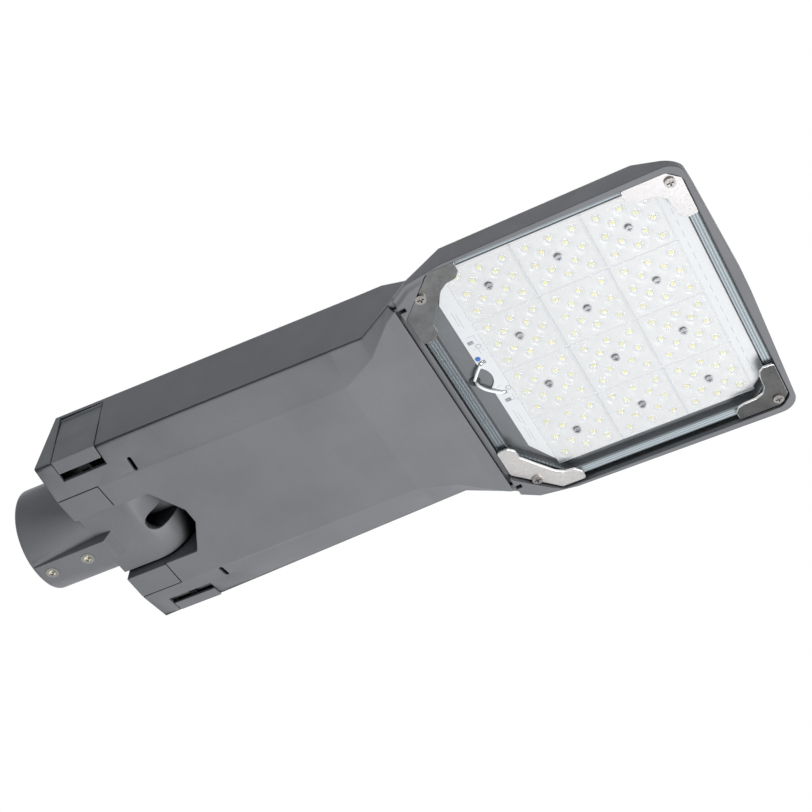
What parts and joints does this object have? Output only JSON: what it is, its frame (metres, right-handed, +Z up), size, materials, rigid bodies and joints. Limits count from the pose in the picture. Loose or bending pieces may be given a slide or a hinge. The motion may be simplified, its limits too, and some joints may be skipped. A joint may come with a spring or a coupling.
{
  "type": "led street light head",
  "caption": "Flat street light head with a tilting pole socket, a hinged gear cover with side latches, and a glazed lamp window over lens tiles.",
  "frame": {"origin": "centre of the pole socket's mouth", "axes": "+X along the head from the pole to its tip, +Z up, the light shines towards -Z, +Y to the right seen from below with the tip ahead"},
  "size_m": [0.556, 0.2374, 0.0774],
  "materials": {
    "cast_paint": "fine textured grey powder coat on pressure die casting",
    "stainless": "polished stainless steel",
    "yellow_zinc_steel": "yellow passivated zinc on steel",
    "dark_spring_steel": "blackened spring steel",
    "zinc_sheet": "zinc plated sheet",
    "clear_glass": "clear tempered glass",
    "clear_lens": "clear moulded acrylic lens",
    "seal_rubber": "black foam rubber",
    "silicone_seal": "grey silicone",
    "white_board": "white solder mask on an aluminium core board",
    "led_phosphor": "yellow phosphor over a ceramic package",
    "white_wire": "white silicone insulation",
    "white_plastic": "white nylon",
    "black_plastic": "black nylon",
    "driver_case": "satin anodised case"
  },
  "bodies": {
    "spigot": {"spigot": "cast_paint", "pole_set_screws": "yellow_zinc_steel", "pivot_bolt": "stainless", "pivot_nut": "stainless", "tilt_washers": "stainless"},
    "housing": {"upper_housing": "cast_paint", "front_glass": "clear_glass", "glass_gasket": "silicone_seal", "rear_clip_left": "stainless", "rear_clip_right": "stainless", "front_clip_left": "stainless", "front_clip_right": "stainless", "clip_screws": "stainless", "led_board": "white_board", "led_chips": "led_phosphor", "lens_tile_1": "clear_lens", "lens_tile_2": "clear_lens", "lens_tile_3": "clear_lens", "lens_tile_4": "clear_lens", "lens_tile_5": "clear_lens", "lens_tile_6": "clear_lens", "lens_tile_7": "clear_lens", "lens_tile_8": "clear_lens", "lens_tile_9": "clear_lens", "lens_tile_10": "clear_lens", "lens_tile_11": "clear_lens", "lens_tile_12": "clear_lens", "tile_screws": "stainless", "led_wire_minus": "white_wire", "led_wire_plus": "white_wire", "wire_grommet": "silicone_seal", "gear_tray": "zinc_sheet", "tray_screws": "stainless", "led_driver": "driver_case", "driver_screws": "stainless", "surge_protector": "black_plastic", "terminal_block": "white_plastic", "cable_gland": "black_plastic", "gland_nut": "black_plastic", "cable_clamp": "black_plastic", "cover_hinge_pins": "stainless", "latch_pins": "stainless"},
    "cover": {"gear_cover": "cast_paint", "cover_gasket": "seal_rubber", "catch_springs": "dark_spring_steel"},
    "latch_left": {"latch_left": "cast_paint"},
    "latch_right": {"latch_right": "cast_paint"}
  },
  "joints": [
    {"name": "spigot_tilt", "type": "hinge", "parent": "spigot", "child": "housing", "pos_m": [0.084, 0, 0], "axis": [0, 1, 0], "range_deg": [0, 90]},
    {"name": "cover_hinge", "type": "hinge", "parent": "housing", "child": "cover", "pos_m": [0.346, 0, -0.025], "axis": [0, -1, 0], "range_deg": [0, 60], "deforming": ["catch_springs"]},
    {"name": "latch_right_swing", "type": "hinge", "parent": "housing", "child": "latch_right", "pos_m": [0.086, 0.0811, 0.0166], "axis": [1, 0, 0], "range_deg": [0, 20]},
    {"name": "latch_left_swing", "type": "hinge", "parent": "housing", "child": "latch_left", "pos_m": [0.086, -0.0811, 0.0166], "axis": [-1, 0, 0], "range_deg": [0, 20]}
  ]
}
